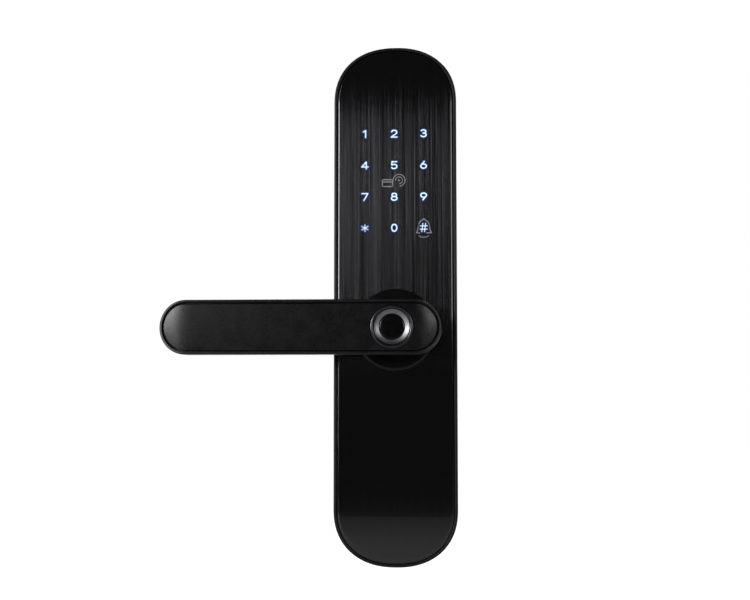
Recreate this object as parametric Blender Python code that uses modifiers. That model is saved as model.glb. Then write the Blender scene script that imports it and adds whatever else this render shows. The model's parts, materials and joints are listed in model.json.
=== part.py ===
"""Keypad smart lock, outdoor unit: a long rounded case with a glass keypad and a fingerprint lever.

Everything is modelled in the lock's own working frame: X to the right, Y up and Z out of the door,
with the lever's axis at x = y = 0 and the door's face at z = 0. The empty lock_frame turns that
frame so that the lock stands with +Z up and faces -Y. Lengths are written in millimetres, and the
builder functions turn them into metres.
"""

import math

import bmesh
import bpy
from mathutils import Matrix, Vector

MM = 0.001
CLEAR = 0.3  # gap kept between pieces that touch

# Case outline: straight sides and superellipse ends, measured from the lever's axis
CASE_TOP = 165.3
CASE_BOTTOM = -134.7
HALF_WIDTH = 35.5
END_HEIGHT = 32.6
END_POWER = 2.25
END_STEPS = 20
SIDE_WALL = 2.6
RIM = 1.7
RIM_GROOVE = 0.5
RIM_ROUND = 0.9

# Layers, as (back, front) distances out of the door's face
GASKET = (0.0, 1.2)
BACK_PLATE = (1.5, 3.0)
CASE = (1.5, 22.6)
FRONT_WALL = (18.6, 20.7)
GLASS = (21.0, 23.1)
LIGHT_SHIELD = (18.3, 20.7)
KEYPAD_BOARD = (16.4, 18.0)
ANTENNA = (15.5, 16.1)
MAIN_BOARD = (7.4, 9.0)

# Keypad: three columns and four rows
KEY_COLUMNS = (-17.5, -0.5, 16.5)
KEY_ROWS = (114.2, 95.7, 77.2, 59.1)
KEYS = [(x, y) for y in KEY_ROWS for x in KEY_COLUMNS]
WINDOW = (25.0, 48.0, 125.0)  # half width, bottom, top
WELL_RADIUS = 5.6

# Lever: a flat bar with round ends, its tray and its inset face
LEVER_TIP = -128.0
LEVER_HEEL = 26.9
LEVER_HALF = 15.0
LEVER_DEPTH = (48.0, 63.0)
LEVER_RIM = 1.4
LEVER_GROOVE = 0.8
LEVER_TRAY = 59.9
LEVER_FACE = (60.2, 62.8)
NECK_RADIUS = 12.0
NECK_BACK = 21.4
SENSOR_HOLE = 12.1

# Hub, along the lever's axis
ROSETTE_RADIUS = 23.5
ROSETTE = (23.4, 26.9)
ROSETTE_ROUND = 2.4
ROSETTE_SPIGOT = 18.6
ROSETTE_SCREW_RING = 16.3
ROSETTE_SCREW_ANGLES = (-90, 40, 140)
SHAFT_RADIUS = 9.0
SHAFT_BORE = 4.5
SHAFT = (9.4, 40.0)
SHAFT_FLAT = 7.5
BUSH_RADIUS = 11.5
BOSS_RADIUS = 13.5
CAM_PLATE = (9.9, 12.0)
CAM_BOSS = (4.9, 10.4)
CAM_RADIUS = 15.0
WING_HALF = 6.0
WING_TIP = 22.6
STOP_RING = 18.5
STOP_ANGLES = (16.5, 163.5)
STOP_RADIUS = 2.5
SPRING_COIL = 14.8
SPRING_WIRE = 0.6
SPINDLE_HALF = 4.0
SPINDLE_END = -50.0
HUB_RADIUS = 9.0
JOURNAL_RADIUS = 7.9

# Clutch, below the hub, in one plane
CLUTCH_DEPTH = 7.4
PIN_RADIUS = 1.5
PIN_TIP = -7.7
PIN_END = -19.0
SHOE_RADII = (19.3, 22.3)
SHOE_HALF_ANGLE = 52
SHOE_DEPTH = (5.6, 9.2)
MOTOR_RADIUS = 4.0
MOTOR_SPAN = (-64.0, -46.3)
SCREW_SPAN = (-45.5, -27.5)
NUT_SPAN = (-39.0, -33.5)

# Emergency key, in the bottom end
KEY_DEPTH = 11.0
KEY_BODY_RADIUS = 6.5
KEY_PLUG_RADIUS = 4.0
KEY_BODY_SPAN = (-128.8, -104.5)
KEY_CAM_SPAN = (-104.0, -102.4)
RAMP_LIFT = 2.5
RAMP_FOOT_ANGLE = 132
ROD_DEPTH = (7.0, 9.0)
ROD_TOP = -23.25

# Flap over the key and the power socket
FLAP_SPAN = (-11.3, 25.3)
FLAP_DEPTH = (4.9, 17.1)
FLAP_INSETS = (0.1, 1.8)
FLAP_PIN_X = -10.0
FLAP_PIN_INSET = 1.1
SOCKET_X = 16.0
SOCKET_FACE = -127.2

# Fixing points on the back
PLATE_SCREWS = [(-22, 142), (22, 142), (-22, -112), (22, -112)]
BOARD_SCREWS = [(-28.4, 41), (28.4, 41), (-28.4, 121), (28.4, 121)]
POSTS = {"mounting_post_upper": (0, 118), "mounting_post_lower": (0, -88)}
POST_RADIUS = 4.0
POST_END = -30.0
CABLE_HOLE = (0, 26, 15, 9)  # centre x, centre y, width, height
TAMPER = (16, -30)

NODES = "keypad_smart_lock"
CUTTERS = "cutters"


# ---------------------------------------------------------------- scene and materials

def clear_scene():
    for obj in list(bpy.data.objects):
        bpy.data.objects.remove(obj)


def new_collection(name):
    made = bpy.data.collections.new(name)
    bpy.context.scene.collection.children.link(made)
    return made


def new_material(name, colour, roughness, metallic=0.0):
    made = bpy.data.materials.new(name)
    made.use_nodes = True
    shader = made.node_tree.nodes["Principled BSDF"]
    shader.inputs["Base Color"].default_value = (*colour, 1.0)
    shader.inputs["Roughness"].default_value = roughness
    shader.inputs["Metallic"].default_value = metallic
    made.diffuse_color = (*colour, 1.0)
    return made


def new_empty(name, parent=None, place=(0, 0, 0), turn=(0, 0, 0)):
    made = bpy.data.objects.new(name, None)
    made.empty_display_size = 0.02
    made.location = Vector(place) * MM
    made.rotation_euler = turn
    made.parent = parent
    bpy.data.collections[NODES].objects.link(made)
    return made


def link_shape(name, mesh):
    """A shape that isn't a node yet: it waits among the cutters until node() takes it."""
    made = bpy.data.objects.new(name, mesh)
    bpy.data.collections[CUTTERS].objects.link(made)
    made.parent = bpy.data.objects["lock_frame"]
    made.hide_render = True
    made.display_type = "WIRE"
    return made


def node(shape, material, axis=None):
    """Makes a shape a piece of the lock, carried by the frame or by the empty on its joint's axis."""
    bpy.data.collections[CUTTERS].objects.unlink(shape)
    bpy.data.collections[NODES].objects.link(shape)
    shape.hide_render = False
    shape.display_type = "TEXTURED"
    if axis is not None:
        shape.parent = axis
        shape.location -= axis.location
    shape.data.materials.append(material)
    if shape.type == "MESH":
        shape.data.shade_smooth()
        shape.data.set_sharp_from_angle(angle=math.radians(32))
    return shape


def bake(shape):
    """The shape with its modifiers made part of its mesh."""
    bpy.context.view_layer.update()
    graph = bpy.context.evaluated_depsgraph_get()
    mesh = bpy.data.meshes.new_from_object(shape.evaluated_get(graph))
    shape.modifiers.clear()
    shape.data = mesh
    return shape


# ---------------------------------------------------------------- outlines, in millimetres

def end_point(angle, inset):
    """A point of the case's top end, moved in along the outline's normal."""
    c = math.cos(angle)
    s = math.sin(angle)
    x = math.copysign(HALF_WIDTH * abs(c) ** (2 / END_POWER), c)
    y = END_HEIGHT * abs(s) ** (2 / END_POWER)
    slope_x = math.copysign((abs(x) / HALF_WIDTH) ** (END_POWER - 1) / HALF_WIDTH, x)
    slope_y = (y / END_HEIGHT) ** (END_POWER - 1) / END_HEIGHT
    size = math.hypot(slope_x, slope_y)
    return x - inset * slope_x / size, y - inset * slope_y / size


def case_outline(inset):
    angles = [math.pi * i / END_STEPS for i in range(END_STEPS + 1)]
    ends = [end_point(a, inset) for a in angles]
    top = [(x, CASE_TOP - END_HEIGHT + y) for x, y in ends]
    bottom = [(-x, CASE_BOTTOM + END_HEIGHT - y) for x, y in ends]
    return top + bottom


def bottom_strip(x_left, x_right, outer_inset, inner_inset, steps=10):
    """A curved strip that follows the bottom end between two insets."""
    angles = []
    for i in range(steps + 1):
        x = x_left + (x_right - x_left) * i / steps
        c = math.copysign((abs(x) / HALF_WIDTH) ** (END_POWER / 2), x)
        angles.append(math.acos(c))
    outer = [bottom_point(a, outer_inset) for a in angles]
    inner = [bottom_point(a, inner_inset) for a in angles]
    return outer + inner[::-1]


def bottom_point(angle, inset):
    x, y = end_point(angle, inset)
    return x, CASE_BOTTOM + END_HEIGHT - y


def arc(radius, start, stop, steps, centre=(0, 0)):
    """Points on an arc, angles in degrees."""
    points = []
    for i in range(steps + 1):
        a = math.radians(start + (stop - start) * i / steps)
        points.append((centre[0] + radius * math.cos(a), centre[1] + radius * math.sin(a)))
    return points


def circle(radius, centre=(0, 0), steps=24):
    return arc(radius, 0, 360, steps, centre)[:-1]


def rounded_rectangle(x, y, width, height, radius, steps=4):
    points = []
    for i, (sx, sy) in enumerate(((1, 1), (-1, 1), (-1, -1), (1, -1))):
        corner = (x + sx * (width / 2 - radius), y + sy * (height / 2 - radius))
        points += arc(radius, 90 * i, 90 * (i + 1), steps, corner)
    return points


def stadium(left, right, radius, steps=16):
    return (arc(radius, -90, 90, steps, (right - radius, 0))
            + arc(radius, 90, 270, steps, (left + radius, 0)))


def lever_outline(inset):
    return stadium(LEVER_TIP + inset, LEVER_HEEL - inset, LEVER_HALF - inset)


def flatted_circle(radius, flat, steps=12):
    """A circle with a flat on its left and on its right."""
    half = math.degrees(math.acos(flat / radius))
    return arc(radius, half, 180 - half, steps) + arc(radius, 180 + half, 360 - half, steps)


# ---------------------------------------------------------------- builders, millimetres to metres

def plate(name, loops, depths):
    """A flat plate between two depths. The first loop is its outline, and the others are holes."""
    back, front = depths
    curve = bpy.data.curves.new(name, "CURVE")
    curve.dimensions = "2D"
    curve.fill_mode = "BOTH"
    curve.extrude = (front - back) / 2 * MM
    for loop in loops:
        spline = curve.splines.new("POLY")
        spline.points.add(len(loop) - 1)
        for point, (x, y) in zip(spline.points, loop):
            point.co = (x * MM, y * MM, 0, 1)
        spline.use_cyclic_u = True
    outline = bpy.data.objects.new(name + "_outline", curve)
    outline.location.z = (front + back) / 2 * MM
    bpy.context.scene.collection.objects.link(outline)
    bpy.context.view_layer.update()
    graph = bpy.context.evaluated_depsgraph_get()
    mesh = bpy.data.meshes.new_from_object(outline.evaluated_get(graph))
    mesh.transform(outline.matrix_world)
    bpy.data.objects.remove(outline)
    made = bmesh.new()
    made.from_mesh(mesh)
    bmesh.ops.remove_doubles(made, verts=made.verts, dist=1e-7)
    bmesh.ops.recalc_face_normals(made, faces=made.faces)
    made.to_mesh(mesh)
    made.free()
    mesh.name = name
    return link_shape(name, mesh)


def blocks(name, spans):
    """Boxes in one mesh, each given as its (low, high) pairs along X, Y and Z."""
    made = bmesh.new()
    for span in spans:
        middle = Vector([(low + high) / 2 for low, high in span]) * MM
        size = Vector([high - low for low, high in span]) * MM
        place = Matrix.Translation(middle) @ Matrix.Diagonal((*size, 1))
        bmesh.ops.create_cube(made, size=1, matrix=place)
    return from_bmesh(name, made)


def pegs(name, centres, radius, span, along="Z", steps=12):
    """Round pegs in one mesh. A centre is the two coordinates across the direction they run in."""
    made = bmesh.new()
    low, high = span
    for a, b in centres:
        if along == "Z":
            middle = Vector((a, b, (low + high) / 2))
            turn = Matrix.Identity(4)
        elif along == "Y":
            middle = Vector((a, (low + high) / 2, b))
            turn = Matrix.Rotation(math.pi / 2, 4, "X")
        else:
            middle = Vector(((low + high) / 2, a, b))
            turn = Matrix.Rotation(math.pi / 2, 4, "Y")
        bmesh.ops.create_cone(
            made, cap_ends=True, segments=steps, radius1=radius * MM, radius2=radius * MM,
            depth=(high - low) * MM, matrix=Matrix.Translation(middle * MM) @ turn)
    return from_bmesh(name, made)


def turned(name, profile, steps=24, closed=False, along="Z", centre=(0, 0)):
    """A turned shape. The profile's (radius, height) points run down its outer side."""
    made = bmesh.new()
    points = [made.verts.new((r * MM, 0, h * MM)) for r, h in profile]
    for first, second in zip(points, points[1:]):
        made.edges.new((first, second))
    if closed:
        made.edges.new((points[-1], points[0]))
    shape = from_bmesh(name, made)
    screw = shape.modifiers.new("turn", "SCREW")
    screw.steps = steps
    screw.render_steps = steps
    screw.use_merge_vertices = True
    screw.merge_threshold = 1e-6
    bake(shape)
    if along == "Y":
        shape.data.transform(Matrix.Rotation(-math.pi / 2, 4, "X"))
        shape.data.transform(Matrix.Translation(Vector((centre[0], 0, centre[1])) * MM))
    else:
        shape.data.transform(Matrix.Translation(Vector((centre[0], centre[1], 0)) * MM))
    return shape


def wire(name, points, radius, resolution=1):
    """A round wire along a line of points."""
    curve = bpy.data.curves.new(name, "CURVE")
    curve.dimensions = "3D"
    curve.bevel_depth = radius * MM
    curve.bevel_resolution = resolution
    curve.use_fill_caps = True
    spline = curve.splines.new("POLY")
    spline.points.add(len(points) - 1)
    for point, place in zip(spline.points, points):
        point.co = (*(Vector(place) * MM), 1)
    return link_shape(name, curve)


def from_bmesh(name, made):
    mesh = bpy.data.meshes.new(name)
    made.to_mesh(mesh)
    made.free()
    return link_shape(name, mesh)


def boolean(shape, other, operation):
    modifier = shape.modifiers.new(other.name, "BOOLEAN")
    modifier.operation = operation
    modifier.object = other
    return shape


def cut(shape, *others):
    for other in others:
        boolean(shape, other, "DIFFERENCE")
    return shape


def join(shape, *others):
    for other in others:
        boolean(shape, other, "UNION")
    return shape


def round_edges(shape, depth, width, segments=2):
    """Rounds every edge that lies wholly at one depth."""
    made = bmesh.new()
    made.from_mesh(shape.data)
    bmesh.ops.dissolve_limit(made, angle_limit=0.001, verts=made.verts, edges=made.edges)
    flat = [e for e in made.edges if all(abs(v.co.z - depth * MM) < 1e-6 for v in e.verts)]
    bmesh.ops.bevel(made, geom=flat, offset=width * MM, segments=segments, profile=0.5,
                    affect="EDGES", clamp_overlap=False)
    made.to_mesh(shape.data)
    made.free()
    return shape


def helix(centre, radius, span, turns, steps=10, along="Y"):
    """Points on a coil along Y or Z, about a centre given by its other two coordinates."""
    points = []
    count = round(turns * steps)
    for i in range(count + 1):
        a = 2 * math.pi * i / steps
        h = span[0] + (span[1] - span[0]) * i / count
        u = centre[0] + radius * math.cos(a)
        v = centre[1] + radius * math.sin(a)
        points.append((u, h, v) if along == "Y" else (u, v, h))
    return points


def screw_mesh(name, head_radius, head_height, shank_radius, length):
    """A pan-head screw along Z, its head's underside at z = 0, its shank towards +Z."""
    shape = turned(name, [(0, length), (shank_radius, length), (shank_radius, 0),
                          (head_radius, 0), (head_radius * 0.82, -head_height),
                          (0, -head_height)], steps=10)
    cut(shape, pegs(name + "_socket", [(0, 0)], head_radius * 0.48,
                    (-head_height - 1, -head_height * 0.35), steps=6))
    bake(shape)
    mesh = shape.data
    bpy.data.objects.remove(shape)
    return mesh


def place_screws(names, mesh, places, depth, material):
    for name, (x, y) in zip(names, places):
        screw = link_shape(name, mesh)
        screw.location = Vector((x, y, depth)) * MM
        node(screw, material)


# ---------------------------------------------------------------- case

def make_housing(material):
    body = plate("housing", [case_outline(0)], CASE)
    round_edges(body, CASE[1], RIM_ROUND)
    half, low, high = WINDOW
    cut(body,
        plate("case_cavity", [case_outline(SIDE_WALL)], (CASE[0] - 1, FRONT_WALL[0])),
        plate("glass_recess", [case_outline(RIM)], (FRONT_WALL[1], CASE[1] + 2)))
    inner_face = FRONT_WALL[0] + 1.0
    saddle = [[(-8, 8), (-124, -110), (14.0, inner_face)]]
    ring = [(BUSH_RADIUS + CLEAR, inner_face), (BOSS_RADIUS, inner_face), (BOSS_RADIUS, 15.4),
            (BUSH_RADIUS + CLEAR, 15.4)]
    stops = [arc(STOP_RING, a, a, 1)[0] for a in STOP_ANGLES]
    join(body,
         plate("bottom_block", [bottom_strip(-13.5, 27, 1.0, 5.0)], (3.3, inner_face)),
         blocks("key_saddle", saddle),
         turned("bush_boss", ring, closed=True),
         pegs("stop_posts", stops, STOP_RADIUS, (CAM_PLATE[0] - 0.2, inner_face)),
         pegs("centring_post", [(0, STOP_RING)], 2.0, (CAM_PLATE[1] + CLEAR, inner_face)),
         pegs("plate_bosses", PLATE_SCREWS, 3.0, (BACK_PLATE[1] + CLEAR, inner_face)),
         pegs("board_bosses", BOARD_SCREWS, 2.6, (MAIN_BOARD[1] + CLEAR, inner_face)))
    screw_ring = [arc(ROSETTE_SCREW_RING, a, a, 1)[0] for a in ROSETTE_SCREW_ANGLES]
    pin = flap_pin_centre()
    socket = [(SOCKET_X - 4.9, SOCKET_X + 4.9), (-136, -120), (8.9, 13.1)]
    cut(body,
        plate("key_window", [rounded_rectangle(0, (low + high) / 2, 2 * half, high - low, 3)],
              (FRONT_WALL[0] - 1, FRONT_WALL[1] + 1)),
        pegs("bush_bore", [(0, 0)], BUSH_RADIUS + CLEAR, (14, 22), steps=32),
        pegs("rosette_screw_holes", screw_ring, 1.6, (16, 22)),
        pegs("plate_screw_holes", PLATE_SCREWS, 1.6, (2, 10.5)),
        pegs("board_screw_holes", BOARD_SCREWS, 1.4, (8, 15)),
        pegs("cylinder_bed", [(0, KEY_DEPTH)], KEY_BODY_RADIUS + CLEAR, (-126, -108), "Y", 24),
        plate("flap_recess", [bottom_strip(-12, 26, -1.5, 2.1)], (4.5, 17.5)),
        pegs("knuckle_room", [pin], 1.9, (4.5, 17.5)),
        pegs("flap_pin_holes", [pin], 0.9, (2.6, 19.4)),
        pegs("key_hole", [(0, KEY_DEPTH)], 4.6, (-136, -128), "Y", 24),
        blocks("socket_hole", [socket]))
    return node(body, material)


def make_glass(material):
    body = plate("front_glass", [case_outline(RIM + RIM_GROOVE)], GLASS)
    round_edges(body, GLASS[1], 0.5, segments=1)
    cut(body, pegs("hub_window", [(0, 0)], ROSETTE_SPIGOT + 0.4, (20, 24), steps=36))
    return node(body, material)


def make_keypad(shield_material, board_material, copper):
    half, low, high = WINDOW
    middle = (low + high) / 2
    tall = high - low
    outline = rounded_rectangle(0, middle, 2 * half - 0.9, tall - 0.9, 2.5)
    wells = [circle(WELL_RADIUS, key, 14) for key in KEYS]
    node(plate("key_light_shield", [outline] + wells, LIGHT_SHIELD), shield_material)

    board = plate("keypad_board", [rounded_rectangle(0, middle, 2 * half - 2, tall - 2, 1.5)],
                  KEYPAD_BOARD)
    front = KEYPAD_BOARD[1]
    back = KEYPAD_BOARD[0]
    lamps = [[(x - 1.4, x + 1.4), (y - 1.4, y + 1.4), (front - 0.4, front + 0.9)] for x, y in KEYS]
    chips = [[(-5, 5), (middle - 5, middle + 5), (back - 1.1, back + 0.4)],
             [(-8, 8), (low + 3, low + 7), (back - 2.2, back + 0.4)]]
    join(board, blocks("keypad_lamps", lamps), blocks("keypad_chips", chips))
    node(board, board_material)

    loops = [rounded_rectangle(0, middle + 4, 46, 56, 4), rounded_rectangle(0, middle + 4, 38, 48, 3)]
    node(plate("card_antenna", loops, ANTENNA), copper)


def make_main_board(board_material, dark):
    low, high = 36, 126
    holes = [circle(1.5, place, 12) for place in BOARD_SCREWS]
    outline = rounded_rectangle(0, (low + high) / 2, 62, high - low, 2)
    board = plate("main_board", [outline] + holes, MAIN_BOARD)
    back, front = MAIN_BOARD
    parts = [[(6, 18), (60, 72), (front - 0.5, front + 1.4)],
             [(-20, -10), (62, 70), (front - 0.5, front + 1.6)],
             [(8, 13), (84, 90), (front - 0.5, front + 2.2)],
             [(-8, 8), (40, 46), (back - 3.0, back + 0.5)],
             [(-24, -14), (96, 101), (back - 3.0, back + 0.5)],
             [(14, 24), (48, 53), (back - 3.0, back + 0.5)]]
    join(board, blocks("board_parts", parts))
    node(board, board_material)

    middle = (-10, 108)
    top = MAIN_BOARD[1] + CLEAR
    profile = [(0, top + 4), (1.2, top + 4), (1.2, top + 4.6), (8, top + 4.6), (8, top), (0, top)]
    node(turned("buzzer", profile, steps=24, centre=middle), dark)


def make_back(plate_material, rubber, steel, harness):
    x, y, width, height = CABLE_HOLE
    post_places = list(POSTS.values())
    holes = ([circle(JOURNAL_RADIUS + CLEAR), rounded_rectangle(x, y, width, height, 3),
              circle(2.3, TAMPER, 12)]
             + [circle(3.2, place, 12) for place in post_places]
             + [circle(1.6, place, 8) for place in PLATE_SCREWS])
    node(plate("back_plate", [case_outline(SIDE_WALL + CLEAR)] + holes, BACK_PLATE), plate_material)

    holes = ([circle(10), rounded_rectangle(x, y, width + 0.6, height + 0.6, 3),
              circle(2.6, TAMPER, 12)]
             + [circle(4.5, place, 12) for place in post_places]
             + [circle(3.2, place, 10) for place in PLATE_SCREWS])
    node(plate("gasket", [case_outline(0.4)] + holes, GASKET), rubber)

    hole = rounded_rectangle(x, y, 11, 6, 2)
    grommet = plate("cable_grommet", [rounded_rectangle(x, y, width - 0.6, height - 0.6, 2.7), hole],
                    (BACK_PLATE[0], 3.6))
    flange = plate("grommet_flange", [rounded_rectangle(x, y, 18, 12, 3.5),
                                      rounded_rectangle(x, y, 11.2, 6.2, 2)], (3.3, 4.4))
    node(join(grommet, flange), harness)

    profile = [(0, 4.8), (4.8, 4.8), (4.8, 3.3), (2.9, 3.3), (2.9, 1.2), (POST_RADIUS, 1.2),
               (POST_RADIUS, POST_END), (2.5, POST_END), (2.5, -8), (0, -8)]
    for name, place in POSTS.items():
        node(turned(name, profile, steps=16, centre=place), steel)


def make_fasteners(steel, dark_steel):
    ring = [arc(ROSETTE_SCREW_RING, a, a, 1)[0] for a in ROSETTE_SCREW_ANGLES]
    names = [f"rosette_screw_{i}" for i in range(1, 4)]
    place_screws(names, screw_mesh("rosette_screw", 2.4, 1.2, 1.3, 6.4), ring,
                 FRONT_WALL[0] - CLEAR, steel)
    names = [f"back_plate_screw_{i}" for i in range(1, 5)]
    place_screws(names, screw_mesh("back_plate_screw", 2.6, 0.9, 1.3, 8.6), PLATE_SCREWS,
                 BACK_PLATE[0] - CLEAR, dark_steel)
    names = [f"board_screw_{i}" for i in range(1, 5)]
    place_screws(names, screw_mesh("board_screw", 2.3, 1.2, 1.1, 6.9), BOARD_SCREWS,
                 MAIN_BOARD[0] - CLEAR, steel)


# ---------------------------------------------------------------- hub and lever

def make_rosette(material):
    back, front = ROSETTE
    corner = (ROSETTE_RADIUS - ROSETTE_ROUND, front - ROSETTE_ROUND)
    rounded = arc(ROSETTE_ROUND, 90, 0, 3, corner)
    bore = NECK_RADIUS + 0.4
    profile = ([(bore, front)] + rounded
               + [(ROSETTE_RADIUS, back), (ROSETTE_SPIGOT, back), (ROSETTE_SPIGOT, 21.0),
                  (bore, 21.0)])
    ring = [arc(ROSETTE_SCREW_RING, a, a, 1)[0] for a in ROSETTE_SCREW_ANGLES]
    body = turned("rosette", profile, steps=36, closed=True)
    cut(body, pegs("rosette_threads", ring, 1.6, (20, 25.3)))
    return node(body, material)


def make_hub(bush_material, spring_steel):
    inner = SHAFT_RADIUS + CLEAR
    profile = [(inner, 20.7), (BUSH_RADIUS, 20.7), (BUSH_RADIUS, 15.1), (BOSS_RADIUS - 0.3, 15.1),
               (BOSS_RADIUS - 0.3, 14.3), (inner, 14.3)]
    node(turned("hub_bush", profile, closed=True), bush_material)

    leg_x = 2.9
    lean = math.degrees(math.asin(leg_x / SPRING_COIL))
    start, stop = 90 - lean, 90 + lean - 720
    top, bottom = 15.9, 13.4
    steps = 26
    coil = arc(SPRING_COIL, start, stop, steps)
    drop = [top + (bottom - top) * i / steps for i in range(steps + 1)]
    path = [(leg_x, 23.2, top), (leg_x, 15.6, top)]
    path += [(x, y, z) for (x, y), z in zip(coil, drop)]
    path += [(-leg_x, 15.6, bottom), (-leg_x, 23.2, bottom)]
    node(wire("return_spring", path, SPRING_WIRE), spring_steel)


def make_lever(axis, paint, face_paint, steel):
    body = plate("lever_body", [lever_outline(0)], LEVER_DEPTH)
    round_edges(body, LEVER_DEPTH[0], 3.0)
    round_edges(body, LEVER_DEPTH[1], 0.8)
    neck = [(0, 49.0), (14.0, 49.0), (13.0, 46.5), (NECK_RADIUS, 43.5), (NECK_RADIUS, NECK_BACK),
            (0, NECK_BACK)]
    join(body, turned("lever_neck", neck, steps=36))
    arm = rounded_rectangle(-60.5, 0, 87, 18, 4)
    cut(body,
        plate("lever_tray", [lever_outline(LEVER_RIM)], (LEVER_TRAY, LEVER_DEPTH[1] + 2)),
        pegs("sensor_pocket", [(0, 0)], SENSOR_HOLE + 0.1, (50.5, 61), steps=32),
        plate("arm_pocket", [arm], (51.5, 61)),
        pegs("shaft_socket", [(0, 0)], SHAFT_RADIUS + CLEAR, (20, 40.3), steps=32),
        pegs("cable_way", [(0, 0)], 4.0, (39, 52), steps=20),
        pegs("set_screw_hole", [(0, 30)], 2.2, (-14, -9), "Y"))
    node(body, paint, axis)

    face = plate("lever_face", [lever_outline(LEVER_RIM + LEVER_GROOVE)], LEVER_FACE)
    round_edges(face, LEVER_FACE[1], 0.4, segments=1)
    cut(face, pegs("sensor_window", [(0, 0)], SENSOR_HOLE, (58, 65), steps=36))
    node(face, face_paint, axis)

    shaft_back, shaft_front = SHAFT
    profile = [(SHAFT_BORE, shaft_front), (SHAFT_RADIUS, shaft_front), (SHAFT_RADIUS, 13.3),
               (8.0, 13.3), (8.0, 12.3), (SHAFT_RADIUS, 12.3), (SHAFT_RADIUS, shaft_back),
               (SHAFT_BORE, shaft_back)]
    shaft = turned("lever_shaft", profile, closed=True)
    flats = [[(SHAFT_FLAT, 12), (-10, 10), (8, 12.2)], [(-12, -SHAFT_FLAT), (-10, 10), (8, 12.2)]]
    cut(shaft, blocks("shaft_flats", flats), pegs("set_screw_seat", [(0, 30)], 2.2, (-10, -8.2), "Y"))
    node(shaft, steel, axis)

    screw = pegs("lever_set_screw", [(0, 30)], 1.9, (-11.7, -8.5), "Y", 12)
    cut(screw, pegs("set_screw_socket", [(0, 30)], 0.9, (-13, -10), "Y", 6))
    node(screw, steel, axis)

    node(turned("hub_washer", [(SHAFT_RADIUS + CLEAR, 14.0), (12.8, 14.0), (12.8, 13.4),
                               (SHAFT_RADIUS + CLEAR, 13.4)], closed=True), steel, axis)
    clip = arc(10.9, -60, 240, 24) + arc(8.3, 240, -60, 24)
    node(plate("hub_circlip", [clip], (12.5, 13.1)), steel, axis)


def make_lever_cam(axis, steel, spring_steel):
    reach = math.degrees(math.acos(WING_HALF / CAM_RADIUS))
    outline = (arc(CAM_RADIUS, 180 - reach, 360 + reach, 32)
               + [(WING_HALF, WING_TIP), (-WING_HALF, WING_TIP)])
    bore = flatted_circle(SHAFT_RADIUS + CLEAR, SHAFT_FLAT + CLEAR)
    cam = plate("lever_cam", [outline, bore], CAM_PLATE)
    low, high = CAM_BOSS
    boss = [(HUB_RADIUS + 0.5, high), (14.6, high), (14.6, low), (HUB_RADIUS + 0.5, low)]
    join(cam, turned("cam_boss", boss, closed=True),
         blocks("cam_tab", [[(-2, 2), (20.9, WING_TIP - 0.1), (11, 17)]]))
    cut(cam, pegs("pin_guide", [(0, CLUTCH_DEPTH)], PIN_RADIUS + CLEAR, (-17, -8), "Y"))
    node(cam, steel, axis)
    coil = helix((0, CLUTCH_DEPTH), 2.3, (-15.4, -17.0), 2.5)
    node(wire("clutch_pin_spring", coil, 0.25), spring_steel, axis)


def make_sensor(axis, bezel_material, chrome, black, board_material, cable_material):
    bezel = [(9.9, 62.9), (10.2, 63.3), (10.9, 63.4), (11.5, 63.1), (11.85, 62.5), (11.85, 58.3),
             (9.9, 58.3)]
    node(turned("fingerprint_bezel", bezel, steps=36, closed=True), bezel_material, axis)
    ring = [(7.15, 60.6), (8.2, 61.5), (9.0, 62.5), (9.4, 62.9), (9.6, 62.7), (9.6, 58.3),
            (7.15, 58.3)]
    node(turned("fingerprint_ring", ring, steps=36, closed=True), chrome, axis)
    disc = [(0, 61.2), (6.4, 61.2), (6.85, 60.9), (6.85, 58.3), (0, 58.3)]
    node(turned("fingerprint_sensor", disc, steps=36), black, axis)
    board = pegs("fingerprint_board", [(0, 0)], 9.5, (56.6, 58.0), steps=28)
    join(board, blocks("sensor_chip", [[(-3, 3), (-3, 3), (55.4, 57)]]))
    node(board, board_material, axis)
    node(wire("sensor_cable", [(0, 0, 55.1), (0, 0, 33), (0, 0, 10.4)], 1.4), cable_material, axis)


def make_spindle(axis, steel, dark_steel):
    profile = [(0, 8.9), (HUB_RADIUS, 8.9), (HUB_RADIUS, 4.5), (11.5, 4.5), (11.5, 3.4),
               (JOURNAL_RADIUS, 3.4), (JOURNAL_RADIUS, 0.4), (0, 0.4)]
    hub = turned("spindle_hub", profile)
    room = SPINDLE_HALF + CLEAR
    square = [[(-room, room), (-room, room), (-1, 10)]]
    cut(hub, blocks("spindle_socket", square),
        pegs("pin_notch", [(0, CLUTCH_DEPTH)], PIN_RADIUS + CLEAR, (-11, -7.2), "Y"),
        pegs("cross_hole", [(0, 6.6)], 1.2, (-12, 12), "X", 12))
    node(hub, dark_steel, axis)
    bar = blocks("spindle", [[(-SPINDLE_HALF, SPINDLE_HALF), (-SPINDLE_HALF, SPINDLE_HALF),
                              (SPINDLE_END, 8.6)]])
    cut(bar, pegs("spindle_cross_hole", [(0, 6.6)], 1.2, (-6, 6), "X", 12))
    node(bar, steel, axis)
    node(pegs("spindle_cross_pin", [(0, 6.6)], 0.9, (-8.7, 8.7), "X", 10), steel, axis)


# ---------------------------------------------------------------- clutch

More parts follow.
